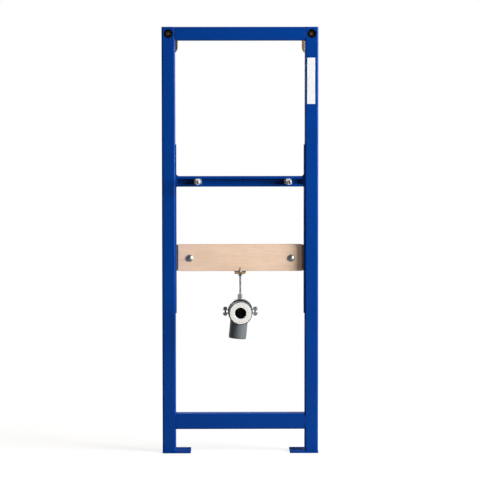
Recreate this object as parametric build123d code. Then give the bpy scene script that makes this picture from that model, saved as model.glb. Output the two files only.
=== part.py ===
from build123d import *
import os

# Basin installation frame: a welded square-tube frame that stands on two foot plates and is anchored
# to a wall. It carries a slotted rail with two basin studs, a plywood board for the tap fittings and a
# hanging clamp with the waste elbow.
# Millimetres, +Z up, -Y towards the room, +Y towards the wall. The origin is on the floor, in the
# middle of the width and of the overall depth.

# Tube frame
frame_width = 440.0
frame_height = 1200.0
tube_side = 38.0
tube_wall = 2.0
tube_radius = 4.5
closing_thickness = 1.5
lower_rail_underside = 66.0
lower_rail_height = 45.0

# Foot plates
foot_thickness = 5.0
foot_length = 80.0
foot_depth = 84.0
foot_lead = 16.0
foot_corner = 3.0
foot_hole_diameter = 11.0
foot_hole_inset = 11.0
foot_hole_pitch = 44.0

# Wall anchors in the upper ends of the uprights
anchor_drop = 17.5
anchor_diameter = 10.0
anchor_hole_clearance = 0.5
anchor_end_gap = 9.0
access_hole_diameter = 25.0
wall_gap = 44.0
wall_plate_thickness = 4.0
wall_plate_width = 40.0
wall_plate_overhang = 6.0
wall_plate_height = 70.0
wall_plate_corner = 19.5
wall_plate_top_gap = 4.0
wall_hole_diameter = 9.0
wall_hole_rise = 15.0

# Side strips on the inner faces of the uprights
strip_thickness = 2.5
strip_depth = 30.0
strip_height = 476.0
strip_bottom = 395.0
strip_corner = 4.0
strip_slot_width = 8.5
strip_slot_length = 60.0
strip_slot_inset = 48.0

# Slotted mounting rail
rail_height = 30.0
rail_depth = 15.0
rail_wall = 2.0
rail_radius = 3.0
rail_slot = 15.0
rail_lip_return = 3.0
rail_middle = 767.0
rail_setback = 6.0
rail_end_thickness = 3.0
rail_end_margin = 3.0
rail_end_corner = 2.0

# Basin studs that slide in the rail
stud_diameter = 10.0
left_stud_offset = 119.0
right_stud_offset = 135.0
stud_projection = 110.0
stud_tail = 1.0
stud_chamfer = 1.0
stud_bare_end = 20.0
stud_shank = 9.0
stud_key = 5.0
stud_key_depth = 5.0
stud_nut_flats = 17.0
stud_nut_height = 8.0
sleeve_wall = 2.0
channel_nut_thickness = 5.0
channel_nut_length = 22.0
slide_clearance = 0.3

# Plywood board and its fixings
board_gap = 4.0
board_height = 75.5
board_thickness = 18.0
board_bottom = 513.3
board_setback = 19.0
board_edge = 0.8
board_bolt_inset = 32.5
board_bolt_drop = 1.5
board_bolt_diameter = 8.0
board_bolt_head = 20.6
board_bolt_dome = 4.9
board_bolt_neck = 4.0
board_bolt_tail = 3.0
board_nut_flats = 13.0
board_nut_flange = 17.5
board_nut_height = 8.0
board_bracket_thickness = 3.0
board_bracket_reach = 55.0
board_bracket_height = 73.0
board_bracket_lap = 16.5

# Drain hanger under the board
hanger_width = 32.0
hanger_thickness = 3.0
hanger_drop = 2.0
hanger_reach = 46.0
hanger_back_height = 44.0
hanger_slot_length = 34.0
hanger_slot_clearance = 0.5
hanger_corner = 4.0
hanger_screw_hole = 5.0
hanger_screw_rise = 16.0
hanger_screw_pitch = 18.0
rod_diameter = 6.0
rod_reach = 27.0
rod_tip = 6.5
rod_chamfer = 0.5
rod_engagement = 11.0
rod_nut_flats = 10.0
rod_nut_flange = 15.5
rod_nut_height = 7.0

# Two-part pipe clamp with a rubber lining
drain_height = 402.0
clamp_width = 25.0
clamp_band = 2.0
clamp_ear_gap = 8.0
clamp_ear_length = 15.0
clamp_screw_diameter = 6.0
clamp_screw_inset = 7.0
clamp_screw_flats = 10.0
clamp_screw_head = 6.5
clamp_nut_height = 5.0
clamp_nut_side = 11.0
clamp_boss_flats = 13.0
clamp_boss_height = 14.0
lining_thickness = 3.0
lining_lip = 2.0
lining_lip_rise = 0.5

# Waste elbow and its rubber seal
pipe_diameter = 50.0
pipe_wall = 2.0
socket_diameter = 58.0
socket_wall = 3.0
socket_lead = 66.0
socket_tail = 17.0
bead_diameter = 66.0
bead_length = 14.0
bead_taper = 4.0
throat_length = 6.0
bend_radius = 32.0
elbow_leg = 82.5
spigot_taper = 4.0
spigot_taper_depth = 1.0
elbow_lean = 5.5
seal_flange_diameter = 60.0
seal_flange_thickness = 4.0
seal_bore = 32.0
seal_lip_length = 12.0
seal_depth = 30.0
seal_wall = 3.0
seal_rounding = 0.8

# Nuts and screw heads
hex_chamfer = 0.5
nut_flange_height = 1.8

# Shared clearances
thread_clearance = 0.15
lap_clearance = 0.2

# Places worked out from the sizes above
half_width = frame_width / 2
inner_half = half_width - tube_side
upright_x = half_width - tube_side / 2
strip_half = inner_half - strip_thickness
rail_half = strip_half - rail_end_thickness
front_reach = stud_projection - rail_setback
rear_reach = tube_side + wall_gap + wall_plate_thickness
front_y = (front_reach - rear_reach) / 2
tube_y = front_y + tube_side / 2
tube_back_y = front_y + tube_side
anchor_z = frame_height - closing_thickness - anchor_drop
wall_plate_x = inner_half - wall_plate_overhang + wall_plate_width / 2
wall_plate_y = tube_back_y + wall_gap
rail_front_y = front_y + rail_setback
rail_y = rail_front_y + rail_depth / 2
channel_nut_y = rail_front_y + rail_wall + rail_lip_return + slide_clearance
sleeve_rear_y = rail_front_y - slide_clearance - stud_nut_height
sleeve_length = stud_projection - stud_bare_end - slide_clearance - stud_nut_height
board_front_y = front_y + board_setback
board_back_y = board_front_y + board_thickness
board_z = board_bottom + board_height / 2
board_half = strip_half - board_gap
board_bolt_x = board_half - board_bolt_inset
board_bolt_z = board_z - board_bolt_drop
hanger_z = board_bottom - hanger_drop
rod_y = board_front_y - rod_reach
lining_radius = socket_diameter / 2 + slide_clearance
band_radius = lining_radius + lining_thickness
clamp_radius = band_radius + clamp_band
clamp_screw_x = clamp_radius + clamp_ear_length - clamp_screw_inset
bend_start = socket_tail + throat_length
spigot_y = bend_start + bend_radius


def rounded_tube(width, length):
    """Tube with rounded corners, one tube side deep, standing on the origin."""
    profile = RectangleRounded(width, tube_side, tube_radius)
    profile -= RectangleRounded(width - 2 * tube_wall, tube_side - 2 * tube_wall, tube_radius - tube_wall)
    return extrude(profile, length)


def hex_prism(flats, height):
    """Hexagon bar with its corners turned off at both ends, standing on the origin."""
    corner_radius = RegularPolygon(flats / 2, 6, major_radius=False).bounding_box().size.X / 2
    turned = Pos(0, 0, height / 2) * Cylinder(corner_radius, height)
    turned = chamfer(turned.edges().filter_by(GeomType.CIRCLE), hex_chamfer)
    return extrude(RegularPolygon(flats / 2, 6, major_radius=False), height) & turned


def hex_nut(flats, height, thread):
    """Plain hexagon nut standing on the origin."""
    bore = Pos(0, 0, height / 2) * Cylinder(thread / 2 + thread_clearance, height)
    return hex_prism(flats, height) - bore


def flange_nut(flats, flange, height, thread):
    """Hexagon nut on a tapered flange, the flange resting on the origin."""
    cone = Pos(0, 0, nut_flange_height / 2) * Cone(flange / 2, flats / 2, nut_flange_height)
    body = Pos(0, 0, nut_flange_height) * hex_prism(flats, height - nut_flange_height)
    bore = Pos(0, 0, height / 2) * Cylinder(thread / 2 + thread_clearance, height)
    return cone + body - bore


def make_upright(side):
    """Upright tube with the access hole in front and the anchor hole behind."""
    length = frame_height - closing_thickness - foot_thickness
    tube = Pos(side * upright_x, tube_y, foot_thickness) * rounded_tube(tube_side, length)
    hole_radius = anchor_diameter / 2 + anchor_hole_clearance
    access = Pos(side * upright_x, front_y, anchor_z) * Rot(90, 0, 0)
    access *= Cylinder(access_hole_diameter / 2, tube_side)
    anchor = Pos(side * upright_x, tube_back_y, anchor_z) * Rot(90, 0, 0)
    anchor *= Cylinder(hole_radius, tube_side)
    return tube - access - anchor


def make_closing_plate(side):
    """Flat plate that closes the upper end of an upright."""
    plate = extrude(RectangleRounded(tube_side, tube_side, tube_radius), closing_thickness)
    return Pos(side * upright_x, tube_y, frame_height - closing_thickness) * plate


def make_cross_tube(underside, height):
    """Cross tube welded between the uprights."""
    place = Pos(-inner_half, tube_y, underside + height / 2) * Rot(0, 90, 0)
    return place * rounded_tube(height, 2 * inner_half)


def make_foot(side):
    """Foot plate under an upright, reaching inward to its two floor screw holes."""
    plate = RectangleRounded(foot_length, foot_depth, foot_corner)
    for end in (-1, 1):
        hole = Pos(foot_hole_inset - foot_length / 2, end * foot_hole_pitch / 2)
        plate -= hole * Circle(foot_hole_diameter / 2)
    foot = extrude(plate, foot_thickness)
    foot = Pos(half_width - foot_length / 2, front_y - foot_lead + foot_depth / 2, 0) * foot
    return foot if side > 0 else mirror(foot, about=Plane.YZ)


def make_wall_plate(side):
    """Rounded plate that lies on the wall behind an upright, showing past its inner face."""
    top_z = frame_height - wall_plate_top_gap
    bottom_z = top_z - wall_plate_height
    middle_z = (top_z + bottom_z) / 2
    plate = RectangleRounded(wall_plate_width, wall_plate_height, wall_plate_corner)
    plate -= Pos(0, bottom_z + wall_hole_rise - middle_z) * Circle(wall_hole_diameter / 2)
    anchor_hole = Circle(anchor_diameter / 2 + thread_clearance)
    plate -= Pos(upright_x - wall_plate_x, anchor_z - middle_z) * anchor_hole
    plate = extrude(Plane.XZ * plate, -wall_plate_thickness)
    plate = Pos(wall_plate_x, wall_plate_y, middle_z) * plate
    return plate if side > 0 else mirror(plate, about=Plane.YZ)


def make_anchor(side):
    """Threaded rod from the wall plate through the rear wall of an upright."""
    front_end = front_y + tube_wall + anchor_end_gap
    length = wall_plate_y + wall_plate_thickness - front_end
    rod = Pos(0, 0, length / 2) * Cylinder(anchor_diameter / 2, length)
    rod = chamfer(rod.edges().filter_by(GeomType.CIRCLE).group_by(Axis.Z)[-1], stud_chamfer)
    return Pos(side * upright_x, front_end + length, anchor_z) * Rot(90, 0, 0) * rod


def make_anchor_nuts(side):
    """Nuts on an anchor: inside the tube, behind the tube and in front of the wall plate."""
    nut = hex_nut(stud_nut_flats, stud_nut_height, anchor_diameter)
    inner_face = tube_back_y - tube_wall
    places = [inner_face, tube_back_y + stud_nut_height, wall_plate_y]
    return [Pos(side * upright_x, y, anchor_z) * Rot(90, 0, 0) * nut for y in places]


def make_strip(side):
    """Flat strip on the inner face of an upright, with a fixing slot near each end."""
    plate = RectangleRounded(strip_depth, strip_height, strip_corner)
    slot = Rot(0, 0, 90) * SlotOverall(strip_slot_length, strip_slot_width)
    slot_rise = strip_height / 2 - strip_slot_inset
    plate -= Pos(0, slot_rise) * slot
    plate -= Pos(0, -slot_rise) * slot
    strip = extrude(Plane.YZ * plate, strip_thickness)
    strip = Pos(strip_half, tube_y, strip_bottom + strip_height / 2) * strip
    return strip if side > 0 else mirror(strip, about=Plane.YZ)


def make_rail():
    """C-shaped rail with its slot to the front and lips turned back into the channel."""
    inner_depth = rail_depth - 2 * rail_wall
    inner_height = rail_height - 2 * rail_wall
    profile = RectangleRounded(rail_depth, rail_height, rail_radius)
    profile -= RectangleRounded(inner_depth, inner_height, rail_radius - rail_wall)
    profile -= Pos(-rail_depth / 2, 0) * Rectangle(2 * rail_wall, rail_slot)
    lip_depth = rail_wall + rail_lip_return
    for end in (-1, 1):
        lip_place = Pos((lip_depth - rail_depth) / 2, end * (rail_slot + rail_wall) / 2)
        profile += lip_place * Rectangle(lip_depth, rail_wall)
    return Pos(-rail_half, rail_y, rail_middle) * extrude(Plane.YZ * profile, 2 * rail_half)


def make_rail_end(side):
    """Plate that joins a rail end to the side strip, standing a little above the rail."""
    height = rail_height + rail_end_margin
    plate = extrude(Plane.YZ * RectangleRounded(rail_depth, height, rail_end_corner), rail_end_thickness)
    plate = Pos(rail_half, rail_y, rail_middle + rail_end_margin / 2) * plate
    return plate if side > 0 else mirror(plate, about=Plane.YZ)


def stud_x(side):
    """Place of a stud along the rail."""
    return right_stud_offset if side > 0 else -left_stud_offset


def make_channel_nut(side):
    """Plate nut inside the rail, held behind the lips."""
    height = rail_height - 2 * rail_wall - 2 * slide_clearance
    plate = RectangleRounded(channel_nut_length, height, rail_radius - rail_wall)
    plate -= Circle(stud_diameter / 2 + thread_clearance)
    nut = extrude(Plane.XZ * plate, -channel_nut_thickness)
    return Pos(stud_x(side), channel_nut_y, rail_middle) * nut


def make_stud(side):
    """Stud threaded at both ends, with a plain shank under its sleeve and a key socket in its tip."""
    rear_end = channel_nut_y + channel_nut_thickness + stud_tail
    length = rear_end - (rail_front_y - stud_projection)
    rod = Pos(0, 0, length / 2) * Cylinder(stud_diameter / 2, length)
    rod = chamfer(rod.edges().filter_by(GeomType.CIRCLE), stud_chamfer)
    turned_off = extrude(Circle(stud_diameter) - Circle(stud_shank / 2), sleeve_length)
    rod -= Pos(0, 0, rear_end - sleeve_rear_y) * turned_off
    key = extrude(RegularPolygon(stud_key / 2, 6, major_radius=False), stud_key_depth)
    rod -= Pos(0, 0, length - stud_key_depth) * key
    return Pos(stud_x(side), rear_end, rail_middle) * Rot(90, 0, 0) * rod


def make_stud_nut(side):
    """Nut that tightens a stud against the front of the rail."""
    nut = hex_nut(stud_nut_flats, stud_nut_height, stud_diameter)
    place = Pos(stud_x(side), rail_front_y - slide_clearance, rail_middle)
    return place * Rot(90, 0, 0) * nut


def make_sleeve(side):
    """Plastic sleeve that guards the thread between the nut and the bare end of a stud."""
    bore = stud_diameter / 2 + lap_clearance
    ring = Circle(bore + sleeve_wall) - Circle(bore)
    place = Pos(stud_x(side), sleeve_rear_y, rail_middle) * Rot(90, 0, 0)
    return place * extrude(ring, sleeve_length)


def make_board():
    """Plywood board between the side strips, drilled for its two bolts."""
    middle_y = board_front_y + board_thickness / 2
    board = Pos(0, middle_y, board_z) * Box(2 * board_half, board_thickness, board_height)
    board = chamfer(board.edges(), board_edge)
    neck = board_bolt_diameter + 2 * lap_clearance
    for side in (-1, 1):
        hole = Pos(side * board_bolt_x, middle_y, board_bolt_z) * Rot(90, 0, 0)
        board -= hole * Cylinder(board_bolt_diameter / 2 + lap_clearance, 2 * board_thickness)
        square = Pos(side * board_bolt_x, board_front_y, board_bolt_z)
        board -= square * Box(neck, 2 * (board_bolt_neck + lap_clearance), neck)
    return board


def make_board_bracket(side):
    """Angle bracket from the side strip to the back of the board."""
    back = board_back_y + board_bracket_thickness
    front = back - board_bracket_lap - board_bracket_thickness
    inner_x = strip_half - board_bracket_reach
    outline = Polyline(
        (strip_half, front),
        (strip_half, back),
        (inner_x, back),
        (inner_x, board_back_y),
        (strip_half - board_bracket_thickness, board_back_y),
        (strip_half - board_bracket_thickness, front),
        close=True,
    )
    angle = extrude(make_face(outline), board_bracket_height / 2, both=True)
    corner = angle.edges().filter_by(Axis.Z).sort_by_distance((strip_half, back, 0))[0]
    angle = fillet(corner, board_bracket_thickness)
    angle = Pos(0, 0, board_z) * angle
    hole = Pos(board_bolt_x, board_back_y + board_bracket_thickness / 2, board_bolt_z) * Rot(90, 0, 0)
    angle -= hole * Cylinder(board_bolt_diameter / 2 + lap_clearance, 2 * board_bracket_thickness)
    return angle if side > 0 else mirror(angle, about=Plane.YZ)


def make_board_bolt(side):
    """Round-headed bolt with a square neck, through the board and its bracket."""
    length = board_thickness + board_bracket_thickness + board_nut_height + board_bolt_tail
    head_radius = board_bolt_head / 2
    dome_radius = (head_radius**2 + board_bolt_dome**2) / (2 * board_bolt_dome)
    bolt = Pos(0, 0, board_bolt_dome - dome_radius) * Sphere(dome_radius)
    bolt &= Pos(0, 0, board_bolt_dome / 2) * Box(board_bolt_head, board_bolt_head, board_bolt_dome)
    bolt += Pos(0, 0, -length / 2) * Cylinder(board_bolt_diameter / 2, length)
    bolt += Pos(0, 0, -board_bolt_neck / 2) * Box(board_bolt_diameter, board_bolt_diameter, board_bolt_neck)
    return Pos(side * board_bolt_x, board_front_y, board_bolt_z) * Rot(90, 0, 0) * bolt


def make_board_nut(side):
    """Flange nut on the back of a board bracket."""
    nut = flange_nut(board_nut_flats, board_nut_flange, board_nut_height, board_bolt_diameter)
    place = Pos(side * board_bolt_x, board_back_y + board_bracket_thickness, board_bolt_z)
    return place * Rot(-90, 0, 0) * nut


def make_hanger():
    """Angle bracket screwed to the back of the board, its slotted arm reaching under the front."""
    back = board_back_y + hanger_thickness
    front = board_front_y - hanger_reach
    top = board_bottom + hanger_back_height
    outline = Polyline(
        (front, hanger_z),
        (front, hanger_z - hanger_thickness),
        (back, hanger_z - hanger_thickness),
        (back, top),
        (board_back_y, top),
        (board_back_y, hanger_z),
        close=True,
    )
    angle = extrude(Plane.YZ * make_face(outline), hanger_width / 2, both=True)
    bend = angle.edges().filter_by(Axis.X).sort_by_distance((0, back, hanger_z - hanger_thickness))[0]
    angle = fillet(bend, hanger_thickness)
    front_corners = angle.edges().filter_by(Axis.Z).group_by(Axis.Y)[0]
    top_corners = angle.edges().filter_by(Axis.Y).group_by(Axis.Z)[-1]
    angle = fillet(front_corners + top_corners, hanger_corner)
    slot = Rot(0, 0, 90) * SlotOverall(hanger_slot_length, rod_diameter + 2 * hanger_slot_clearance)
    slot_place = Pos(0, rod_y, hanger_z - hanger_thickness / 2)
    angle -= slot_place * extrude(slot, hanger_thickness, both=True)
    for step in range(2):
        hole_z = board_bottom + hanger_screw_rise + step * hanger_screw_pitch
        hole = Pos(0, back - hanger_thickness / 2, hole_z) * Rot(90, 0, 0)
        angle -= hole * Cylinder(hanger_screw_hole / 2, 2 * hanger_thickness)
    return angle


def make_rod():
    """Threaded rod that hangs the clamp from the slotted arm."""
    bottom = drain_height + clamp_radius + clamp_boss_height - rod_engagement
    length = hanger_z + rod_nut_height + rod_tip - bottom
    rod = Pos(0, 0, length / 2) * Cylinder(rod_diameter / 2, length)
    rod = chamfer(rod.edges().filter_by(GeomType.CIRCLE), rod_chamfer)
    return Pos(0, rod_y, bottom) * rod


def make_rod_nut(above):
    """Flange nut on the rod, above or below the slotted arm."""
    nut = flange_nut(rod_nut_flats, rod_nut_flange, rod_nut_height, rod_diameter)
    if above:
        return Pos(0, rod_y, hanger_z) * nut
    return Pos(0, rod_y, hanger_z - hanger_thickness) * Rot(180, 0, 0) * nut


def clamp_half():
    """Upper half of the steel band, centred on the drain axis, with a drilled ear on each side."""
    ear_bottom = clamp_ear_gap / 2
    ear_end = clamp_radius + clamp_ear_length
    profile = Circle(clamp_radius) - Circle(band_radius)
    profile &= Pos(0, ear_bottom + clamp_radius) * Rectangle(2 * clamp_radius, 2 * clamp_radius)
    ear_middle = ear_bottom + clamp_band / 2
    ears = Pos(0, ear_middle) * Rectangle(2 * ear_end, clamp_band)
    profile += ears - Circle(clamp_radius - clamp_band / 2)
    half = extrude(Plane.XZ * profile, clamp_width / 2, both=True)
    for side in (-1, 1):
        hole = Cylinder(clamp_screw_diameter / 2 + thread_clearance, 2 * clamp_band)
        half -= Pos(side * clamp_screw_x, 0, ear_middle) * hole
    return half


def make_clamp_upper():
    """Upper clamp half with the welded boss for the rod."""
    boss_foot = band_radius + clamp_band / 2
    boss = Pos(0, 0, boss_foot) * hex_prism(clamp_boss_flats, clamp_radius + clamp_boss_height - boss_foot)
    bore_bottom = clamp_radius + clamp_boss_height - rod_engagement
    bore = Pos(0, 0, bore_bottom + rod_engagement / 2)
    bore *= Cylinder(rod_diameter / 2 + thread_clearance, rod_engagement)
    return Pos(0, rod_y, drain_height) * (clamp_half() + boss - bore)


def make_clamp_lower():
    """Lower clamp half with a welded square nut under each ear."""
    half = clamp_half()
    for side in (-1, 1):
        nut_z = clamp_ear_gap / 2 + clamp_band + clamp_nut_height / 2
        nut = Box(clamp_nut_side, clamp_nut_side, clamp_nut_height)
        nut -= Cylinder(clamp_screw_diameter / 2 + thread_clearance, 2 * clamp_nut_height)
        half += Pos(side * clamp_screw_x, 0, nut_z) * nut
    return Pos(0, rod_y, drain_height) * Rot(0, 180, 0) * half


def make_lining():
    """Rubber lining of the clamp, with lips that lap over both edges of the band."""
    outer = band_radius - lap_clearance / 2
    half_width_y = clamp_width / 2 + lap_clearance
    lip_radius = clamp_radius + lining_lip_rise
    profile = make_face(
        Polyline(
            (lining_radius, -half_width_y - lining_lip),
            (lip_radius, -half_width_y - lining_lip),
            (lip_radius, -half_width_y),
            (outer, -half_width_y),
            (outer, half_width_y),
            (lip_radius, half_width_y),
            (lip_radius, half_width_y + lining_lip),
            (lining_radius, half_width_y + lining_lip),
            close=True,
        )
    )
    return Pos(0, rod_y, drain_height) * revolve(profile, Axis.Y)


def make_clamp_screw(side):
    """Hexagon screw that draws the two clamp halves together."""
    top = clamp_ear_gap / 2 + clamp_band
    bottom = -top - clamp_nut_height - clamp_band
    shank = Pos(0, 0, (top + bottom) / 2) * Cylinder(clamp_screw_diameter / 2, top - bottom)
    head = Pos(0, 0, top) * hex_prism(clamp_screw_flats, clamp_screw_head)
    return Pos(side * clamp_screw_x, rod_y, drain_height) * (shank + head)


def elbow_sweep(socket_profile, radius, leg):
    """Round body of the elbow: a turned socket, a quarter bend and a straight leg."""
    body = revolve(make_face(Polyline(*socket_profile, close=True)), Axis.Y)
    section = Pos(0, bend_start, 0) * (Plane.XZ * Circle(radius))
    bend_axis = Axis((0, bend_start, -bend_radius), (-1, 0, 0))
    body += revolve(section, bend_axis, 90)
    body += Pos(0, spigot_y, -bend_radius - leg / 2) * Cylinder(radius, leg)
    return body


def drain_place():
    """Place of the elbow on the drain axis, turned to its lean."""
    return Pos(0, rod_y, drain_height) * Rot(0, elbow_lean, 0)


def make_elbow():
    """Waste elbow: a beaded socket facing the room and a plain spigot with a tapered end."""
    pipe_radius = pipe_diameter / 2
    barrel = socket_diameter / 2
    bead = bead_diameter / 2
    bead_end = bead_length - socket_lead
    outside = [
        (0, -socket_lead),
        (bead, -socket_lead),
        (bead, bead_end),
        (barrel, bead_end + bead_taper),
        (barrel, socket_tail),
        (pipe_radius, bend_start),
        (0, bend_start),
    ]
    socket_bore = barrel - socket_wall
    pipe_bore = pipe_radius - pipe_wall
    inside = [
        (0, -socket_lead),
        (socket_bore, -socket_lead),
        (socket_bore, socket_tail),
        (pipe_bore, bend_start),
        (0, bend_start),
    ]
    leg = elbow_leg - bend_radius
    elbow = elbow_sweep(outside, pipe_radius, leg - spigot_taper)
    taper = Cone(pipe_radius - spigot_taper_depth, pipe_radius, spigot_taper)
    elbow += Pos(0, spigot_y, spigot_taper / 2 - elbow_leg) * taper
    elbow -= elbow_sweep(inside, pipe_bore, leg)
    return drain_place() * elbow


def make_seal():
    """Rubber seal in the elbow's mouth, with a flange over the rim and a lipped bore."""
    flange = seal_flange_diameter / 2
    body = socket_diameter / 2 - socket_wall - lap_clearance
    bore = seal_bore / 2
    mouth = -socket_lead
    front = mouth - seal_flange_thickness
    profile = make_face(
        Polyline(
            (bore, front),
            (flange, front),
            (flange, mouth),
            (body, mouth),
            (body, mouth + seal_depth),
            (body - seal_wall, mouth + seal_depth),
            (body - seal_wall, front + seal_lip_length),
            (bore, front + seal_lip_length),
            close=True,
        )
    )
    seal = revolve(profile, Axis.Y)
    front_edges = seal.edges().filter_by(GeomType.CIRCLE).group_by(Axis.Y)[0]
    return drain_place() * fillet(front_edges, seal_rounding)


def write_node(name, shape):
    """Write one node's solids."""
    solids = shape if isinstance(shape, list) else [shape]
    export_step(Compound(children=[Solid(s.solid().wrapped) for s in solids]), f"parts/{name}.step")


os.makedirs("parts", exist_ok=True)

for name, side in (("left", -1), ("right", 1)):
    write_node(f"{name}_upright", make_upright(side))
    write_node(f"{name}_closing_plate", make_closing_plate(side))
    write_node(f"{name}_foot", make_foot(side))
    write_node(f"{name}_wall_plate", make_wall_plate(side))
    write_node(f"{name}_wall_anchor", make_anchor(side))
    write_node(f"{name}_anchor_nuts", make_anchor_nuts(side))
    write_node(f"{name}_side_strip", make_strip(side))
    write_node(f"{name}_rail_end", make_rail_end(side))
    write_node(f"{name}_channel_nut", make_channel_nut(side))
    write_node(f"{name}_stud", make_stud(side))
    write_node(f"{name}_stud_nut", make_stud_nut(side))
    write_node(f"{name}_stud_sleeve", make_sleeve(side))
    write_node(f"{name}_board_bracket", make_board_bracket(side))
    write_node(f"{name}_board_bolt", make_board_bolt(side))
    write_node(f"{name}_board_nut", make_board_nut(side))
    write_node(f"{name}_clamp_screw", make_clamp_screw(side))

write_node("top_rail", make_cross_tube(frame_height - tube_side, tube_side))
write_node("lower_rail", make_cross_tube(lower_rail_underside, lower_rail_height))
write_node("mounting_rail", make_rail())
write_node("tap_board", make_board())
write_node("hanger_bracket", make_hanger())
write_node("hanger_rod", make_rod())
write_node("hanger_upper_nut", make_rod_nut(True))
write_node("hanger_lower_nut", make_rod_nut(False))
write_node("clamp_upper_half", make_clamp_upper())
write_node("clamp_lower_half", make_clamp_lower())
write_node("clamp_lining", make_lining())
write_node("waste_elbow", make_elbow())
write_node("waste_seal", make_seal())
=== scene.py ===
import math

import bmesh
import bpy
from mathutils import Matrix, Vector


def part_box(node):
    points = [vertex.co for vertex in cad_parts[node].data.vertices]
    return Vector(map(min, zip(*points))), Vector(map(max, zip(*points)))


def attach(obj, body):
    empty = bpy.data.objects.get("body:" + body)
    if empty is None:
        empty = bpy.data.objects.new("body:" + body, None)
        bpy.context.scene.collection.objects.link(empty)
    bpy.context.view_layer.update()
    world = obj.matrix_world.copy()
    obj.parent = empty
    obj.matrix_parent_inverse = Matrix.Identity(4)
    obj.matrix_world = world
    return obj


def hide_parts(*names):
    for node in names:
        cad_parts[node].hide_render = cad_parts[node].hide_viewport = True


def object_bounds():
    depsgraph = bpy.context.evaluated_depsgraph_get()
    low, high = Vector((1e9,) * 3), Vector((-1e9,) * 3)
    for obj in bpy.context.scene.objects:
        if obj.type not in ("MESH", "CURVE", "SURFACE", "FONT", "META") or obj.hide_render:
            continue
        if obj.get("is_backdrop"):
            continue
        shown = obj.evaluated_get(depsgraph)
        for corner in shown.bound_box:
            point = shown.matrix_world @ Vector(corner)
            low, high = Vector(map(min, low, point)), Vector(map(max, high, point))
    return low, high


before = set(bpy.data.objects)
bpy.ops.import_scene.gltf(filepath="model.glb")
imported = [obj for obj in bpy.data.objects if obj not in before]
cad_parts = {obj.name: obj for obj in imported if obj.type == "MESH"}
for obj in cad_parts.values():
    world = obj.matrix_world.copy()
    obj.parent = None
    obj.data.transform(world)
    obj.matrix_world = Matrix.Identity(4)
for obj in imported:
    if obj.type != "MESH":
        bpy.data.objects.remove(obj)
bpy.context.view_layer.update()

# Uprights, cross tubes, closing plates and foot plates: steel tube and flat steel plate, welded into
# one frame and powder coated blue. The coat is even and semi-matt, with the faint orange peel of a
# baked powder, and it rounds every cut edge a little.


def linear(code):
    """Linear colour of an sRGB hex code."""
    shares = [int(code[i : i + 2], 16) / 255 for i in (1, 3, 5)]
    return (*[s / 12.92 if s <= 0.04045 else ((s + 0.055) / 1.055) ** 2.4 for s in shares], 1.0)


def add_node(tree, kind, values=None, links=None, **settings):
    """Add a shader node with its settings, its sockets' values and the sockets that feed it."""
    new = tree.nodes.new(kind)
    for name, setting in settings.items():
        setattr(new, name, setting)
    for socket, value in (values or {}).items():
        new.inputs[socket].default_value = value
    for socket, source in (links or {}).items():
        tree.links.new(source, new.inputs[socket])
    return new


def start_material(name):
    """An empty node material, its tree and the object coordinates that its patterns read."""
    material = bpy.data.materials.new(name)
    material.use_nodes = True
    tree = material.node_tree
    tree.nodes.clear()
    return material, tree, add_node(tree, "ShaderNodeTexCoord").outputs["Object"]


def finish_nodes(material, *names):
    """Give CAD nodes one material."""
    for name in names:
        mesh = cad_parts[name].data
        mesh.materials.clear()
        mesh.materials.append(material)


# The coat on the foot plates is duller than on the tubes.
tone_drift, peel_width, edge_round = 0.12, 0.0022, 0.0006
powder_coats = []
for name, gloss in (("blue_powder_coat_on_steel", 0.03), ("dulled_blue_powder_coat_on_steel", 0.0)):
    material, tree, place = start_material(name)
    broad = add_node(tree, "ShaderNodeTexNoise", {"Scale": 1 / tone_drift, "Detail": 2.0},
                     {"Vector": place})
    tone = add_node(tree, "ShaderNodeMix", {"A": linear("#003787"), "B": linear("#003E93")},
                    {"Factor": broad.outputs["Fac"]}, data_type="RGBA")
    peel = add_node(tree, "ShaderNodeTexNoise", {"Scale": 1 / peel_width, "Detail": 1.0},
                    {"Vector": place})
    edge = add_node(tree, "ShaderNodeBevel", {"Radius": edge_round}, samples=4)
    bump = add_node(tree, "ShaderNodeBump", {"Strength": 0.12, "Distance": 0.0003},
                    {"Height": peel.outputs["Fac"], "Normal": edge.outputs["Normal"]})
    sheen = add_node(tree, "ShaderNodeMapRange", {"To Min": 0.38, "To Max": 0.52},
                     {"Value": broad.outputs["Fac"]})
    shader = add_node(tree, "ShaderNodeBsdfPrincipled",
                      {"Specular IOR Level": gloss, "Coat Weight": 0.035, "Coat IOR": 3.0,
                       "Coat Roughness": 0.24},
                      {"Base Color": tone.outputs["Result"], "Roughness": sheen.outputs["Result"],
                       "Normal": bump.outputs["Normal"], "Coat Normal": bump.outputs["Normal"]})
    add_node(tree, "ShaderNodeOutputMaterial", links={"Surface": shader.outputs["BSDF"]})
    powder_coats.append(material)
powder_coat, dulled_coat = powder_coats

finish_nodes(powder_coat, "top_rail", "lower_rail")
for side in ("left", "right"):
    finish_nodes(powder_coat, f"{side}_upright", f"{side}_closing_plate")
    finish_nodes(dulled_coat, f"{side}_foot")

# Weld beads of the frame: short rippled runs of weld metal in the grooves where tube meets tube and
# along the foot plates, laid before coating, so they carry the same blue coat.


def take_in(shape, extra):
    """Take a second shape into the first."""
    data = bpy.data.meshes.new("extra")
    extra.to_mesh(data)
    extra.free()
    shape.from_mesh(data)
    bpy.data.meshes.remove(data)


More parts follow.
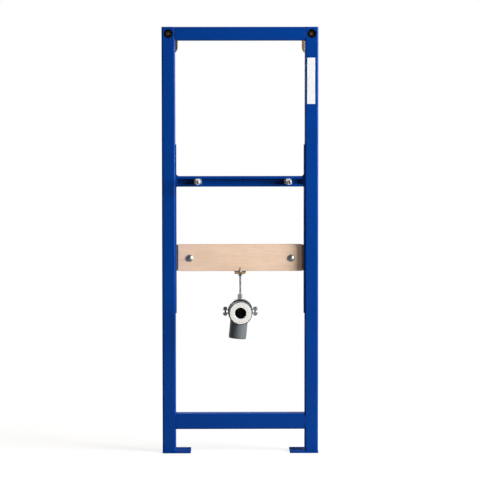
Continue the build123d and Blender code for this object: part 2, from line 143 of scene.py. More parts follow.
def lay_bead(shape, start, end, radius):
    """A rippled run of weld metal between two points, half sunk in the joint that it fills."""
    ripple_length = 0.0015
    start = Vector(start)
    run = Vector(end) - start
    bead = bmesh.new()
    bmesh.ops.create_cone(bead, cap_ends=True, segments=10, radius1=radius, radius2=radius,
                          depth=run.length)
    lengthwise = [e for e in bead.edges if abs(e.verts[0].co.z - e.verts[1].co.z) > radius]
    ripples = round(run.length / ripple_length)
    bmesh.ops.subdivide_edges(bead, edges=lengthwise, cuts=3 * ripples)
    # The ripples thin the run by up to a fifth, and its ends taper to less than a third.
    for v in bead.verts:
        swell = 0.9 + 0.1 * math.cos(v.co.z / run.length * ripples * 2 * math.pi)
        v.co.xy *= swell * min(1.0, 0.3 + (run.length / 2 - abs(v.co.z)) / (2 * radius))
    turn = run.to_track_quat("Z", "Y").to_matrix().to_4x4()
    bmesh.ops.transform(bead, matrix=Matrix.Translation(start + run / 2) @ turn, verts=bead.verts)
    take_in(shape, bead)


def finish_piece(name, shape, material, body, sharp=35):
    """Turn a bmesh into a piece that rides on a body and carries one material."""
    bmesh.ops.recalc_face_normals(shape, faces=shape.faces)
    data = bpy.data.meshes.new(name)
    shape.to_mesh(data)
    shape.free()
    data.shade_smooth()
    data.set_sharp_from_angle(angle=math.radians(sharp))
    data.materials.append(material)
    piece = bpy.data.objects.new(name, data)
    bpy.context.scene.collection.objects.link(piece)
    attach(piece, body)
    return piece


# Beads in the grooves lie sunk beside the uprights' rounded corners; the others stand a little proud
# of theirs. All of them stop short of the tubes' rounded edges.
bead_radius, seam_radius = 0.0016, 0.0013
proud, groove_depth = 0.0002, 0.0012
edge_gap, flank_gap, seam_gap = 0.004, 0.0055, 0.0065
tube_low, tube_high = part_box("right_upright")
groove_x, corner_x = tube_low.x + groove_depth, tube_low.x - proud
foot_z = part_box("right_foot")[1].z + proud
weld_runs = bmesh.new()
for side in (-1, 1):
    for rail, groove_gap in (("top_rail", edge_gap), ("lower_rail", flank_gap)):
        low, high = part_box(rail)
        for y in (low.y + bead_radius, high.y - bead_radius):
            lay_bead(weld_runs, (side * groove_x, y, low.z + groove_gap),
                     (side * groove_x, y, high.z - groove_gap), bead_radius)
        seams = [low.z - proud] if rail == "top_rail" else [low.z - proud, high.z + proud]
        for z in seams:
            lay_bead(weld_runs, (side * corner_x, low.y + seam_gap, z),
                     (side * corner_x, high.y - seam_gap, z), seam_radius)
    for y in (tube_low.y - proud, tube_high.y + proud):
        lay_bead(weld_runs, (side * (tube_low.x + edge_gap), y, foot_z),
                 (side * (tube_high.x - edge_gap), y, foot_z), bead_radius)
    lay_bead(weld_runs, (side * corner_x, tube_low.y + flank_gap, foot_z),
             (side * corner_x, tube_high.y - flank_gap, foot_z), bead_radius)
finish_piece("frame_weld_beads", weld_runs, powder_coat, "frame")

# Wall anchors: pressed plates, threaded rods and nuts, zinc plated and yellow passivated. The thin
# chromate film shows straw yellow with drifts of olive and pink over a satin metal. The plating's
# grain is too fine to show, so it is drawn 0.8 mm wide.
drift_width, grain_width = 0.026, 0.0008
yellow_zinc, tree, place = start_material("yellow_passivated_zinc")
drift = add_node(tree, "ShaderNodeTexNoise", {"Scale": 1 / drift_width, "Detail": 2.0, "Distortion": 0.4},
                 {"Vector": place})
film = add_node(tree, "ShaderNodeValToRGB", links={"Fac": drift.outputs["Fac"]})
olive, pink = film.color_ramp.elements
olive.position, olive.color = 0.30, linear("#9A8C62")
pink.position, pink.color = 0.72, linear("#BB9A72")
film.color_ramp.elements.new(0.50).color = linear("#B59E6E")
grain = add_node(tree, "ShaderNodeTexNoise", {"Scale": 1 / grain_width, "Detail": 2.0}, {"Vector": place})
satin = add_node(tree, "ShaderNodeMapRange", {"To Min": 0.40, "To Max": 0.60},
                 {"Value": grain.outputs["Fac"]})
bump = add_node(tree, "ShaderNodeBump", {"Strength": 0.15, "Distance": 0.0002},
                {"Height": grain.outputs["Fac"]})
shader = add_node(tree, "ShaderNodeBsdfPrincipled", {"Metallic": 1.0},
                  {"Base Color": film.outputs["Color"], "Roughness": satin.outputs["Result"],
                   "Normal": bump.outputs["Normal"]})
add_node(tree, "ShaderNodeOutputMaterial", links={"Surface": shader.outputs["BSDF"]})

# Radius and pitch of the metric coarse threads on this frame.
M6, M8, M10 = (0.003, 0.001), (0.004, 0.00125), (0.005, 0.0015)


def cut_thread(shape, size, low, high, steps=20):
    """A threaded rod along Z: one tooth swept up a helix, cut flat at both ends and chamfered there."""
    radius, pitch = size
    root = radius - 0.6 * pitch
    # The tooth's outline: each point's radius, and its height as a share of the pitch.
    tooth = ((root, 0.0), (root, 0.2), (radius, 0.54), (radius, 0.66), (root, 1.0))
    # The helix starts a little off the end planes, so that no cut runs through a vertex.
    first = low - (2 + 0.3 / steps) * pitch
    points = [shape.verts.new((x, 0.0, first + z * pitch)) for x, z in tooth]
    edges = [shape.edges.new(pair) for pair in zip(points, points[1:])]
    turns = math.ceil((high - low) / pitch) + 4
    bmesh.ops.spin(shape, geom=points + edges, cent=(0, 0, 0), axis=(0, 0, 1), angle=turns * 2 * math.pi,
                   steps=turns * steps, dvec=(0, 0, pitch / steps))
    bmesh.ops.remove_doubles(shape, verts=shape.verts, dist=pitch / 200)
    for level, outwards in ((low, -1), (high, 1)):
        bmesh.ops.bisect_plane(shape, geom=shape.verts[:] + shape.edges[:] + shape.faces[:],
                               plane_co=(0, 0, level), plane_no=(0, 0, outwards), clear_outer=True)
    bmesh.ops.holes_fill(shape, edges=[e for e in shape.edges if e.is_boundary], sides=0)
    for v in shape.verts:
        reach = v.co.xy.length
        limit = root + min(v.co.z - low, high - v.co.z)
        if reach > limit:
            v.co.xy *= limit / reach


def point_along_y(shape, origin, way):
    """Turn a shape's Z towards the wall (way 1) or into the room (way -1) and move it to its origin."""
    turn = Matrix.Rotation(math.radians(-90 * way), 4, "X")
    bmesh.ops.transform(shape, matrix=Matrix.Translation(origin) @ turn, verts=shape.verts)


for side in ("left", "right"):
    low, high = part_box(f"{side}_wall_anchor")
    anchor = bmesh.new()
    cut_thread(anchor, M10, 0.0, high.y - low.y)
    point_along_y(anchor, ((low.x + high.x) / 2, low.y, (low.z + high.z) / 2), 1)
    piece = finish_piece(f"{side}_anchor_thread", anchor, yellow_zinc, "frame")
    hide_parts(f"{side}_wall_anchor")
    finish_nodes(yellow_zinc, f"{side}_wall_plate", f"{side}_anchor_nuts")

# Side strips, slotted rail and its end plates: steel strip and a rolled C channel, welded to the
# uprights and coated with them. Short weld stitches hold the strips' rear edges.
stitch_rises = (0.035, 0.135, 0.245, 0.340, 0.445)
stitch_half, stitch_radius = 0.011, 0.0018
stitch_inset, stitch_lift = 0.0005, 0.0003
end_radius, end_gap = 0.0014, 0.0025
strip_low, strip_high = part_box("right_side_strip")
stitch_x, stitch_y = strip_high.x - stitch_inset, strip_high.y + stitch_lift
plate_low, plate_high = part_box("right_rail_end")
rail_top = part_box("mounting_rail")[1].z
end_seams = ((plate_low.x - proud, rail_top + proud / 2), (plate_high.x - proud, plate_high.z + proud),
             (plate_high.x - proud, plate_low.z - proud))
stitches = bmesh.new()
for side in (-1, 1):
    for rise in stitch_rises:
        z = strip_low.z + rise
        lay_bead(stitches, (side * stitch_x, stitch_y, z - stitch_half),
                 (side * stitch_x, stitch_y, z + stitch_half), stitch_radius)
    for x, z in end_seams:
        lay_bead(stitches, (side * x, plate_low.y + end_gap, z),
                 (side * x, plate_high.y - end_gap, z), end_radius)
finish_piece("strip_weld_stitches", stitches, powder_coat, "frame")
finish_nodes(powder_coat, "mounting_rail")
for side in ("left", "right"):
    finish_nodes(powder_coat, f"{side}_side_strip", f"{side}_rail_end")

# Basin studs: bright zinc screws with a hexagon socket in the tip, turned into channel nuts in the
# rail. A pale polyethylene sleeve keeps the thread clean between the nut and the bare end.

# Screws, bolts and flange nuts leave the zinc bath bright, while the clamp halves and the studs' nuts
# leave it matt. Both are faintly clouded, and their fine grain is drawn half a millimetre wide.
cloud_width, grain_width, edge_round = 0.006, 0.0005, 0.0002
zinc_finishes = []
for name, dark, pale, smooth, rough in (("bright_zinc_plated_steel", "#8E9497", "#B2B7B9", 0.28, 0.46),
                                        ("matt_zinc_plated_steel", "#A4A9AD", "#C0C5C8", 0.48, 0.64)):
    material, tree, place = start_material(name)
    cloud = add_node(tree, "ShaderNodeTexNoise", {"Scale": 1 / cloud_width, "Detail": 3.0},
                     {"Vector": place})
    tone = add_node(tree, "ShaderNodeMix", {"A": linear(dark), "B": linear(pale)},
                    {"Factor": cloud.outputs["Fac"]}, data_type="RGBA")
    grain = add_node(tree, "ShaderNodeTexNoise", {"Scale": 1 / grain_width, "Detail": 2.0},
                     {"Vector": place})
    satin = add_node(tree, "ShaderNodeMapRange", {"To Min": smooth, "To Max": rough},
                     {"Value": cloud.outputs["Fac"]})
    edge = add_node(tree, "ShaderNodeBevel", {"Radius": edge_round}, samples=4)
    bump = add_node(tree, "ShaderNodeBump", {"Strength": 0.12, "Distance": 0.0001},
                    {"Height": grain.outputs["Fac"], "Normal": edge.outputs["Normal"]})
    shader = add_node(tree, "ShaderNodeBsdfPrincipled", {"Metallic": 1.0},
                      {"Base Color": tone.outputs["Result"], "Roughness": satin.outputs["Result"],
                       "Normal": bump.outputs["Normal"]})
    add_node(tree, "ShaderNodeOutputMaterial", links={"Surface": shader.outputs["BSDF"]})
    zinc_finishes.append(material)
bright_zinc, matt_zinc = zinc_finishes

# Moulded polyethylene looks waxy and lets a little light in. Its skin is drawn coarser than it is.
haze_width, skin_width = 0.007, 0.0009
sleeve_plastic, tree, place = start_material("pale_polyethylene")
haze = add_node(tree, "ShaderNodeTexNoise", {"Scale": 1 / haze_width, "Detail": 3.0}, {"Vector": place})
tone = add_node(tree, "ShaderNodeMix", {"A": linear("#C6CAC9"), "B": linear("#D5D8D6")},
                {"Factor": haze.outputs["Fac"]}, data_type="RGBA")
skin = add_node(tree, "ShaderNodeTexNoise", {"Scale": 1 / skin_width, "Detail": 1.0}, {"Vector": place})
bump = add_node(tree, "ShaderNodeBump", {"Strength": 0.15, "Distance": 0.0002},
                {"Height": skin.outputs["Fac"]})
satin = add_node(tree, "ShaderNodeMapRange", {"To Min": 0.36, "To Max": 0.52},
                 {"Value": haze.outputs["Fac"]})
shader = add_node(tree, "ShaderNodeBsdfPrincipled",
                  {"IOR": 1.51, "Subsurface Weight": 0.15, "Subsurface Scale": 0.002},
                  {"Base Color": tone.outputs["Result"], "Roughness": satin.outputs["Result"],
                   "Normal": bump.outputs["Normal"]})
add_node(tree, "ShaderNodeOutputMaterial", links={"Surface": shader.outputs["BSDF"]})

# The thread ends 0.5 mm inside the sleeve; behind it a plain shank runs on to the thread in the nuts.
tip_thread, rear_thread, shank_radius = 0.0205, 0.0225, 0.0045
shank_low, shank_stop = 0.021, 0.020
tip_rim, tip_dish, socket_radius, socket_depth = 0.0009, 0.0003, 0.0029, 0.0047
for side in ("left", "right"):
    low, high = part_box(f"{side}_stud")
    length = high.y - low.y
    stud = bmesh.new()
    cut_thread(stud, M10, length - tip_thread, length)
    tip = max(stud.faces, key=lambda face: face.calc_center_median().z)
    bmesh.ops.inset_region(stud, faces=[tip], thickness=tip_rim, use_even_offset=True)
    bmesh.ops.delete(stud, geom=[tip], context="FACES_ONLY")
    rim_edges = [e for e in stud.edges if e.is_boundary]
    mouth = bmesh.ops.create_circle(stud, segments=6, radius=socket_radius,
                                    matrix=Matrix.Translation((0, 0, length - tip_dish)))["verts"]
    mouth_edges = list({e for v in mouth for e in v.link_edges})
    bmesh.ops.bridge_loops(stud, edges=rim_edges + mouth_edges)
    walls = bmesh.ops.extrude_edge_only(stud, edges=mouth_edges)["geom"]
    floor_verts = [v for v in walls if isinstance(v, bmesh.types.BMVert)]
    floor_edges = [e for e in walls if isinstance(e, bmesh.types.BMEdge)
                   and all(v in floor_verts for v in e.verts)]
    bmesh.ops.translate(stud, verts=floor_verts, vec=(0, 0, -socket_depth))
    bmesh.ops.contextual_create(stud, geom=floor_edges)
    rear = bmesh.new()
    cut_thread(rear, M10, 0.0, rear_thread)
    shank_high = length - shank_stop
    bmesh.ops.create_cone(rear, cap_ends=True, segments=24, radius1=shank_radius, radius2=shank_radius,
                          depth=shank_high - shank_low,
                          matrix=Matrix.Translation((0, 0, (shank_low + shank_high) / 2)))
    take_in(stud, rear)
    point_along_y(stud, ((low.x + high.x) / 2, high.y, (low.z + high.z) / 2), -1)
    piece = finish_piece(f"{side}_stud_thread", stud, bright_zinc, f"{side}_stud_set")
    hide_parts(f"{side}_stud")
    finish_nodes(matt_zinc, f"{side}_stud_nut", f"{side}_channel_nut")
    finish_nodes(sleeve_plastic, f"{side}_stud_sleeve")

# Board for the tap fittings: birch-cored plywood with a rotary-cut beech face, sawn and left raw. The
# face shows a long soft figure and short dark flecks; the sawn edges show the plies.
figure_width, fibre_width, blotch_width, fleck_width = 0.016, 0.0024, 0.05, 0.0026
figure_stretch, fleck_stretch = (0.06, 1.0, 1.0), (0.16, 1.0, 1.0)
plywood, tree, place = start_material("raw_beech_plywood")
along = add_node(tree, "ShaderNodeMapping", {"Scale": figure_stretch}, {"Vector": place})
figure = add_node(tree, "ShaderNodeTexNoise",
                  {"Scale": 1 / figure_width, "Detail": 3.0, "Distortion": 0.6},
                  {"Vector": along.outputs["Vector"]})
fibre = add_node(tree, "ShaderNodeTexNoise",
                 {"Scale": 1 / fibre_width, "Detail": 3.0, "Roughness": 0.6},
                 {"Vector": along.outputs["Vector"]})
blotch = add_node(tree, "ShaderNodeTexNoise", {"Scale": 1 / blotch_width, "Detail": 2.0}, {"Vector": place})
face = add_node(tree, "ShaderNodeMix", {"A": linear("#E6C5AA"), "B": linear("#F0D6C0")},
                {"Factor": figure.outputs["Fac"]}, data_type="RGBA")
fibre_depth = add_node(tree, "ShaderNodeMapRange",
                       {"From Min": 0.35, "From Max": 0.62, "To Min": 0.93, "To Max": 1.02},
                       {"Value": fibre.outputs["Fac"]})
blotch_depth = add_node(tree, "ShaderNodeMapRange",
                        {"From Min": 0.3, "From Max": 0.7, "To Min": 0.95, "To Max": 1.03},
                        {"Value": blotch.outputs["Fac"]})
depth = add_node(tree, "ShaderNodeMath", operation="MULTIPLY",
                 links={0: fibre_depth.outputs["Result"], 1: blotch_depth.outputs["Result"]})
fleck_place = add_node(tree, "ShaderNodeMapping", {"Scale": fleck_stretch}, {"Vector": place})
fleck = add_node(tree, "ShaderNodeTexVoronoi", {"Scale": 1 / fleck_width, "Randomness": 1.0},
                 {"Vector": fleck_place.outputs["Vector"]})
fleck_mark = add_node(tree, "ShaderNodeMapRange",
                      {"From Min": 0.10, "From Max": 0.22, "To Min": 0.88, "To Max": 1.0},
                      {"Value": fleck.outputs["Distance"]})
marked = add_node(tree, "ShaderNodeMath", operation="MULTIPLY",
                  links={0: depth.outputs["Value"], 1: fleck_mark.outputs["Result"]})
veneer = add_node(tree, "ShaderNodeVectorMath", operation="SCALE",
                  links={0: face.outputs["Result"], "Scale": marked.outputs["Value"]})
# Thirteen plies, of which every second one shows end grain and is darker. A wave's scale counts 20
# radians a metre.
ply = 0.0014
plies = add_node(tree, "ShaderNodeTexWave",
                 {"Scale": 2 * math.pi / (2 * ply) / 20, "Distortion": 0.6, "Detail": 1.0},
                 {"Vector": place}, bands_direction="Y")
ply_tone = add_node(tree, "ShaderNodeMix", {"A": linear("#A87F5C"), "B": linear("#DDB996")},
                    {"Factor": plies.outputs["Fac"]}, data_type="RGBA")
normal = add_node(tree, "ShaderNodeNewGeometry")
parts = add_node(tree, "ShaderNodeSeparateXYZ", links={0: normal.outputs["True Normal"]})
flat = add_node(tree, "ShaderNodeMath", links={0: parts.outputs["Y"]}, operation="ABSOLUTE")
is_face = add_node(tree, "ShaderNodeMath", {1: 0.5}, {0: flat.outputs["Value"]}, operation="GREATER_THAN")
wood = add_node(tree, "ShaderNodeMix", data_type="RGBA",
                links={"Factor": is_face.outputs["Value"], "A": ply_tone.outputs["Result"],
                       "B": veneer.outputs["Vector"]})
bump = add_node(tree, "ShaderNodeBump", {"Strength": 0.25, "Distance": 0.0003},
                {"Height": fibre.outputs["Fac"]})
dull = add_node(tree, "ShaderNodeMapRange", {"To Min": 0.55, "To Max": 0.75},
                {"Value": figure.outputs["Fac"]})
shader = add_node(tree, "ShaderNodeBsdfPrincipled", {"IOR": 1.45, "Specular IOR Level": 0.3},
                  {"Base Color": wood.outputs["Result"], "Roughness": dull.outputs["Result"],
                   "Normal": bump.outputs["Normal"]})
add_node(tree, "ShaderNodeOutputMaterial", links={"Surface": shader.outputs["BSDF"]})
finish_nodes(plywood, "tap_board")

# Board fixings: pressed angles in yellow zinc on the side strips, and two bright round-headed bolts
# with square necks through board and angle, held by flange nuts behind. The bolts' tails are threaded.


def merged_copy(node):
    """A copy of a CAD node's mesh with its loose triangles merged."""
    shape = bmesh.new()
    shape.from_mesh(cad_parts[node].data)
    bmesh.ops.remove_doubles(shape, verts=shape.verts, dist=1e-6)
    return shape


thread_in_nut = 0.001
for side in ("left", "right"):
    finish_nodes(yellow_zinc, f"{side}_board_bracket")
    finish_nodes(bright_zinc, f"{side}_board_nut")
    low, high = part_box(f"{side}_board_bolt")
    tail_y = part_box(f"{side}_board_nut")[0].y + thread_in_nut
    bolt = merged_copy(f"{side}_board_bolt")
    bmesh.ops.bisect_plane(bolt, geom=bolt.verts[:] + bolt.edges[:] + bolt.faces[:],
                           plane_co=(0, tail_y, 0), plane_no=(0, 1, 0), clear_outer=True)
    bmesh.ops.holes_fill(bolt, edges=[e for e in bolt.edges if e.is_boundary], sides=0)
    tail = bmesh.new()
    cut_thread(tail, M8, 0.0, high.y - tail_y)
    point_along_y(tail, ((low.x + high.x) / 2, tail_y, (low.z + high.z) / 2), 1)
    take_in(bolt, tail)
    piece = finish_piece(f"{side}_bolt_thread", bolt, bright_zinc, "frame", sharp=30)
    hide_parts(f"{side}_board_bolt")

# Drain hanger: a pressed angle in yellow zinc, held to the back of the board by two pan-head wood
# screws, with a bright threaded rod clamped in its slot between two flange nuts.
finish_nodes(yellow_zinc, "hanger_bracket")
finish_nodes(bright_zinc, "hanger_lower_nut")
low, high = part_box("hanger_rod")
rod_middle = Vector(((low.x + high.x) / 2, (low.y + high.y) / 2, 0))
nut_turn = math.radians(21)
upper_nut = merged_copy("hanger_upper_nut")
bmesh.ops.rotate(upper_nut, verts=upper_nut.verts, cent=rod_middle,
                 matrix=Matrix.Rotation(nut_turn, 3, "Z"))
piece = finish_piece("hanger_turned_nut", upper_nut, bright_zinc, "frame", sharp=20)
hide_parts("hanger_upper_nut")
rod = bmesh.new()
cut_thread(rod, M6, low.z, high.z, steps=16)
bmesh.ops.translate(rod, verts=rod.verts, vec=rod_middle)
piece = finish_piece("hanger_rod_thread", rod, bright_zinc, "frame")
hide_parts("hanger_rod")


def sink_cross(shape, top, reach, half_width, depth):
    """A cross recess sunk in the flat top of a screw head."""
    flat_level = top - 1e-5
    for x in (-reach, -half_width, half_width, reach):
        for direction in ((1, 0, 0), (0, 1, 0)):
            flat_top = {g for f in shape.faces if f.calc_center_median().z > flat_level
                        for g in (f, *f.edges, *f.verts)}
            bmesh.ops.bisect_plane(shape, geom=list(flat_top), plane_co=Vector(direction) * x,
                                   plane_no=direction)
    cross = []
    for f in shape.faces:
        middle = f.calc_center_median()
        across, along = sorted((abs(middle.x), abs(middle.y)))
        if middle.z > flat_level and across < half_width and along < reach:
            cross.append(f)
    sunk = bmesh.ops.extrude_face_region(shape, geom=cross)["geom"]
    bmesh.ops.delete(shape, geom=cross, context="FACES")
    floor_verts = [v for v in sunk if isinstance(v, bmesh.types.BMVert)]
    bmesh.ops.translate(shape, verts=floor_verts, vec=(0, 0, -depth))


head_height, head_base, head_top, head_round = 0.0026, 0.0048, 0.0044, 0.0012
shank_length, shank_radius, point_radius = 0.016, 0.0021, 0.0006
seat_gap = 0.00005
bracket_low, bracket_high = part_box("hanger_bracket")
for number, rise in enumerate((0.021, 0.039), start=1):
    screw = bmesh.new()
    bmesh.ops.create_cone(screw, cap_ends=True, segments=32, radius1=head_base, radius2=head_top,
                          depth=head_height, matrix=Matrix.Translation((0, 0, head_height / 2)))
    rim = [e for e in screw.edges if all(v.co.z > head_height / 2 for v in e.verts)]
    bmesh.ops.bevel(screw, geom=rim, offset=head_round, segments=4, profile=0.5, affect="EDGES",
                    material=-1)
    sink_cross(screw, head_height, reach=0.0022, half_width=0.0005, depth=0.0014)
    bmesh.ops.create_cone(screw, cap_ends=True, segments=20, radius1=point_radius, radius2=shank_radius,
                          depth=shank_length, matrix=Matrix.Translation((0, 0, -shank_length / 2)))
    point_along_y(screw, (0, bracket_high.y + seat_gap, bracket_low.z + rise), 1)
    finish_piece(f"hanger_wood_screw_{number}", screw, bright_zinc, "frame")

# Pipe clamp: two pressed half bands with ears, zinc plated, drawn together by two screws. The
# rubber lining laps over the band's edges; its matt black skin carries a little pale dust, and its
# grain is drawn coarser than it is, so that it shows.
finish_nodes(matt_zinc, "clamp_upper_half", "clamp_lower_half")
head_height, head_round = 0.0065, 0.0007
for side, head_turn in (("left", 0), ("right", 30)):
    low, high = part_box(f"{side}_clamp_screw")
    head_corner = (high.y - low.y) / 2 / math.cos(math.pi / 6)
    screw = bmesh.new()
    cut_thread(screw, M6, low.z, high.z - head_height, steps=16)
    bmesh.ops.create_cone(screw, cap_ends=True, segments=6, radius1=head_corner, radius2=head_corner,
                          depth=head_height, matrix=Matrix.Translation((0, 0, high.z - head_height / 2))
                          @ Matrix.Rotation(math.radians(head_turn), 4, "Z"))
    rim = [e for e in screw.edges if all(v.co.z > high.z - 1e-5 for v in e.verts)]
    bmesh.ops.bevel(screw, geom=rim, offset=head_round, segments=2, profile=0.5, affect="EDGES",
                    material=-1)
    sink_cross(screw, high.z, reach=0.0024, half_width=0.0006, depth=0.0018)
    bmesh.ops.translate(screw, verts=screw.verts, vec=((low.x + high.x) / 2, (low.y + high.y) / 2, 0))
    piece = finish_piece(f"{side}_clamp_screw_thread", screw, bright_zinc, "frame")
    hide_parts(f"{side}_clamp_screw")

dust_width, skin_width = 0.009, 0.0007
black_rubber, tree, place = start_material("black_epdm_rubber")
dust = add_node(tree, "ShaderNodeTexNoise", {"Scale": 1 / dust_width, "Detail": 4.0}, {"Vector": place})
tone = add_node(tree, "ShaderNodeMix", {"A": linear("#101113"), "B": linear("#1C1D1F")},
                {"Factor": dust.outputs["Fac"]}, data_type="RGBA")
skin = add_node(tree, "ShaderNodeTexNoise", {"Scale": 1 / skin_width, "Detail": 2.0}, {"Vector": place})
bump = add_node(tree, "ShaderNodeBump", {"Strength": 0.2, "Distance": 0.0002},
                {"Height": skin.outputs["Fac"]})
dull = add_node(tree, "ShaderNodeMapRange", {"To Min": 0.5, "To Max": 0.7},
                {"Value": dust.outputs["Fac"]})
shader = add_node(tree, "ShaderNodeBsdfPrincipled", {"IOR": 1.52},
                  {"Base Color": tone.outputs["Result"], "Roughness": dull.outputs["Result"],
                   "Normal": bump.outputs["Normal"]})
add_node(tree, "ShaderNodeOutputMaterial", links={"Surface": shader.outputs["BSDF"]})
finish_nodes(black_rubber, "clamp_lining")

# Waste elbow: injection-moulded grey polypropylene with a satin skin, faint flow clouds and a fine
# parting line along its plane of symmetry, which leans with the elbow. The mould's grain is drawn
# coarser than it is, so that it shows.
flow_width, skin_width = 0.03, 0.0006
grey_plastic, tree, place = start_material("grey_moulded_polypropylene")
flow = add_node(tree, "ShaderNodeTexNoise", {"Scale": 1 / flow_width, "Detail": 3.0, "Distortion": 0.5},
                {"Vector": place})
tone = add_node(tree, "ShaderNodeMix", {"A": linear("#5F6569"), "B": linear("#686E72")},
                {"Factor": flow.outputs["Fac"]}, data_type="RGBA")
skin = add_node(tree, "ShaderNodeTexNoise", {"Scale": 1 / skin_width, "Detail": 2.0}, {"Vector": place})
lean = math.radians(5.5)
mouth_low, mouth_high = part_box("waste_seal")
mouth_z = (mouth_low.z + mouth_high.z) / 2
upright = add_node(tree, "ShaderNodeMapping",
                   {"Rotation": (0, -lean, 0), "Location": (mouth_z * math.sin(lean), 0, 0)},
                   {"Vector": place})
across = add_node(tree, "ShaderNodeSeparateXYZ", links={0: upright.outputs["Vector"]})
offset = add_node(tree, "ShaderNodeMath", links={0: across.outputs["X"]}, operation="ABSOLUTE")
parting = add_node(tree, "ShaderNodeMapRange",
                   {"From Min": 0.0001, "From Max": 0.0004, "To Min": 1.0, "To Max": 0.0},
                   {"Value": offset.outputs["Value"]})
satin = add_node(tree, "ShaderNodeMapRange", {"To Min": 0.34, "To Max": 0.48},
                 {"Value": flow.outputs["Fac"]})
grained = add_node(tree, "ShaderNodeBump", {"Strength": 0.12, "Distance": 0.0002},
                   {"Height": skin.outputs["Fac"]})
bump = add_node(tree, "ShaderNodeBump", {"Strength": 0.6, "Distance": 0.0002},
                {"Height": parting.outputs["Result"], "Normal": grained.outputs["Normal"]})
shader = add_node(tree, "ShaderNodeBsdfPrincipled", {"IOR": 1.49, "Specular IOR Level": 0.12},
                  {"Base Color": tone.outputs["Result"], "Roughness": satin.outputs["Result"],
                   "Normal": bump.outputs["Normal"]})
add_node(tree, "ShaderNodeOutputMaterial", links={"Surface": shader.outputs["BSDF"]})
finish_nodes(grey_plastic, "waste_elbow")

# Seal in the elbow's mouth: an off-white rubber ring with a lipped bore, pressed in. Its skin is
# matt, with the faint mottling of filled rubber and a grain drawn coarser than it is.
mottle_width, skin_width = 0.006, 0.0008
white_rubber, tree, place = start_material("off_white_rubber")
mottle = add_node(tree, "ShaderNodeTexNoise", {"Scale": 1 / mottle_width, "Detail": 4.0}, {"Vector": place})
tone = add_node(tree, "ShaderNodeMix", {"A": linear("#E8E8E6"), "B": linear("#F0F0EE")},
                {"Factor": mottle.outputs["Fac"]}, data_type="RGBA")
skin = add_node(tree, "ShaderNodeTexNoise", {"Scale": 1 / skin_width, "Detail": 2.0}, {"Vector": place})
bump = add_node(tree, "ShaderNodeBump", {"Strength": 0.18, "Distance": 0.0002},
                {"Height": skin.outputs["Fac"]})
dull = add_node(tree, "ShaderNodeMapRange", {"To Min": 0.48, "To Max": 0.65},
                {"Value": mottle.outputs["Fac"]})
shader = add_node(tree, "ShaderNodeBsdfPrincipled", {"IOR": 1.5},
                  {"Base Color": tone.outputs["Result"], "Roughness": dull.outputs["Result"],
                   "Normal": bump.outputs["Normal"]})
add_node(tree, "ShaderNodeOutputMaterial", links={"Surface": shader.outputs["BSDF"]})
finish_nodes(white_rubber, "waste_seal")

# Label place on the right upright: a blank white film with rounded corners, stuck on the coat. It
# hardly waves, and it is a little glossier than paper.
wave_width = 0.02
label_film, tree, place = start_material("white_label_film")
wave = add_node(tree, "ShaderNodeTexNoise", {"Scale": 1 / wave_width, "Detail": 1.0}, {"Vector": place})
tone = add_node(tree, "ShaderNodeMix", {"A": linear("#E3E8E9"), "B": linear("#EBEFF0")},
                {"Factor": wave.outputs["Fac"]}, data_type="RGBA")
bump = add_node(tree, "ShaderNodeBump", {"Strength": 0.08, "Distance": 0.0003},
                {"Height": wave.outputs["Fac"]})
shader = add_node(tree, "ShaderNodeBsdfPrincipled", {"IOR": 1.46, "Roughness": 0.35},
                  {"Base Color": tone.outputs["Result"], "Normal": bump.outputs["Normal"]})
add_node(tree, "ShaderNodeOutputMaterial", links={"Surface": shader.outputs["BSDF"]})
label_width, label_height, label_corner, film_thickness = 0.0224, 0.1295, 0.0012, 0.00015
label_inset, label_drop, glue_gap = 0.0176, 0.14955, 0.00002
label = bmesh.new()
bmesh.ops.create_grid(label, x_segments=1, y_segments=1, size=0.5)
bmesh.ops.scale(label, verts=label.verts, vec=(label_width, label_height, 1.0))
bmesh.ops.bevel(label, geom=label.verts[:], offset=label_corner, segments=4, profile=0.5,
                affect="VERTICES", material=-1)
front = bmesh.ops.extrude_face_region(label, geom=label.faces[:])["geom"]
bmesh.ops.translate(label, verts=[v for v in front if isinstance(v, bmesh.types.BMVert)],
                    vec=(0, 0, film_thickness))
point_along_y(label, (tube_low.x + label_inset, tube_low.y - glue_gap, tube_high.z - label_drop), -1)
finish_piece("blank_label", label, label_film, "frame")

# Studio: a white floor that keeps a soft shadow, a white backdrop behind the frame, a dim room in
# front of it, one large soft lamp from the right, higher than the frame, and a weaker one behind.


def background_share(tree, way, start, end):
    """1 where the camera sees the background, and where bright surfaces mirror it behind the frame."""
    rays = add_node(tree, "ShaderNodeLightPath")
    mirrored = add_node(tree, "ShaderNodeMath", operation="MAXIMUM",
                        links={0: rays.outputs["Is Glossy Ray"], 1: rays.outputs["Is Transmission Ray"]})
    parts = add_node(tree, "ShaderNodeSeparateXYZ", links={0: way})
    behind = add_node(tree, "ShaderNodeMapRange", {"From Min": start, "From Max": end},
                      {"Value": parts.outputs["Y"]})
    share = add_node(tree, "ShaderNodeMath", operation="MULTIPLY",
                     links={0: mirrored.outputs["Value"], 1: behind.outputs["Result"]})
    seen = add_node(tree, "ShaderNodeMath", operation="MAXIMUM",
                    links={0: rays.outputs["Is Camera Ray"], 1: share.outputs["Value"]})
    return seen.outputs["Value"]


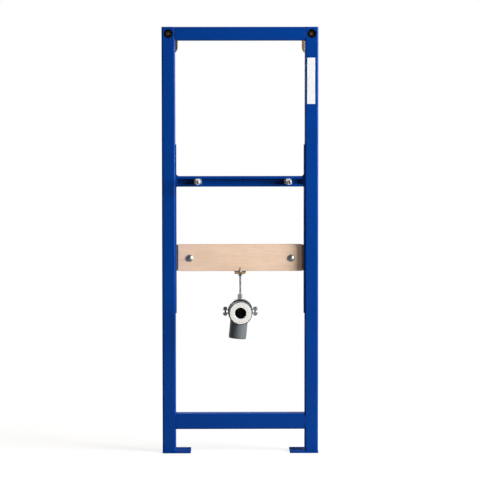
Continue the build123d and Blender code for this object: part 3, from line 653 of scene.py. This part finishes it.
world = bpy.data.worlds.new("studio_white")
bpy.context.scene.world = world
world.use_nodes = True
tree = world.node_tree
tree.nodes.clear()
way = add_node(tree, "ShaderNodeTexCoord").outputs["Generated"]
fill = add_node(tree, "ShaderNodeBackground", {"Color": linear("#FFE2C6"), "Strength": 0.15})
white = add_node(tree, "ShaderNodeBackground", {"Color": linear("#FFFFFF"), "Strength": 1.0})
seen = background_share(tree, way, start=-0.4, end=0.4)
either = add_node(tree, "ShaderNodeMixShader",
                  links={0: seen, 1: fill.outputs[0], 2: white.outputs[0]})
add_node(tree, "ShaderNodeOutputWorld", links={"Surface": either.outputs[0]})

bpy.context.scene.view_settings.view_transform = "Standard"

lamp_aim, lamp_size = Vector((0, 0, 0.75)), 2.8
for name, spot, watts in (("key_softbox", (3.85, -1.63, 1.75), 408.0),
                          ("back_softbox", (-2.0, 4.0, 1.9), 130.0)):
    lamp_data = bpy.data.lights.new(name, "AREA")
    lamp_data.shape = "DISK"
    lamp_data.size = lamp_size
    lamp_data.energy = watts
    lamp = bpy.data.objects.new(name, lamp_data)
    lamp.location = spot
    lamp.rotation_euler = (lamp_aim - lamp.location).to_track_quat("-Z", "Y").to_euler()
    bpy.context.scene.collection.objects.link(lamp)

# The paper shows the shadow near the frame and fades to the white of the backdrop around it.
floor_radius, shadow_near, shadow_far = 12.0, 0.5, 1.6
floor_mesh = bmesh.new()
bmesh.ops.create_circle(floor_mesh, cap_ends=True, segments=64, radius=floor_radius)
floor_data = bpy.data.meshes.new("floor")
floor_mesh.to_mesh(floor_data)
floor_mesh.free()
floor = bpy.data.objects.new("floor", floor_data)
bpy.context.scene.collection.objects.link(floor)
floor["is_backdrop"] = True
floor_paper, tree, place = start_material("white_studio_paper")
paper = add_node(tree, "ShaderNodeBsdfDiffuse", {"Color": linear("#A0A0A0")})
faint = add_node(tree, "ShaderNodeBsdfDiffuse", {"Color": linear("#898989")})
glow = add_node(tree, "ShaderNodeEmission", {"Strength": 0.80})
shaded = add_node(tree, "ShaderNodeAddShader", links={0: faint.outputs[0], 1: glow.outputs[0]})
bright = add_node(tree, "ShaderNodeEmission", {"Strength": 1.0})
reach = add_node(tree, "ShaderNodeVectorMath", links={0: place}, operation="LENGTH")
fade = add_node(tree, "ShaderNodeMapRange", {"From Min": shadow_near, "From Max": shadow_far},
                {"Value": reach.outputs["Value"]})
backdrop = add_node(tree, "ShaderNodeMixShader",
                    links={0: fade.outputs["Result"], 1: shaded.outputs[0], 2: bright.outputs[0]})
seen = background_share(tree, place, start=0.0, end=0.6)
either = add_node(tree, "ShaderNodeMixShader",
                  links={0: seen, 1: paper.outputs[0], 2: backdrop.outputs[0]})
add_node(tree, "ShaderNodeOutputMaterial", links={"Surface": either.outputs[0]})
floor_data.materials.append(floor_paper)

# Camera: a long lens six metres in front of the frame, a little higher than the rail, looking down
# slightly.
look_down, roll, turn_right = math.radians(3.323), math.radians(0.057), math.radians(0.543)
camera_data = bpy.data.cameras.new("camera")
camera_data.lens = 160.16
camera_data.sensor_width = 36.0
camera = bpy.data.objects.new("camera", camera_data)
camera.location = (-0.057, -5.991, 0.9506)
camera.rotation_euler = (math.pi / 2 - look_down, roll, -turn_right)
bpy.context.scene.collection.objects.link(camera)
bpy.context.scene.camera = camera

low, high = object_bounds()
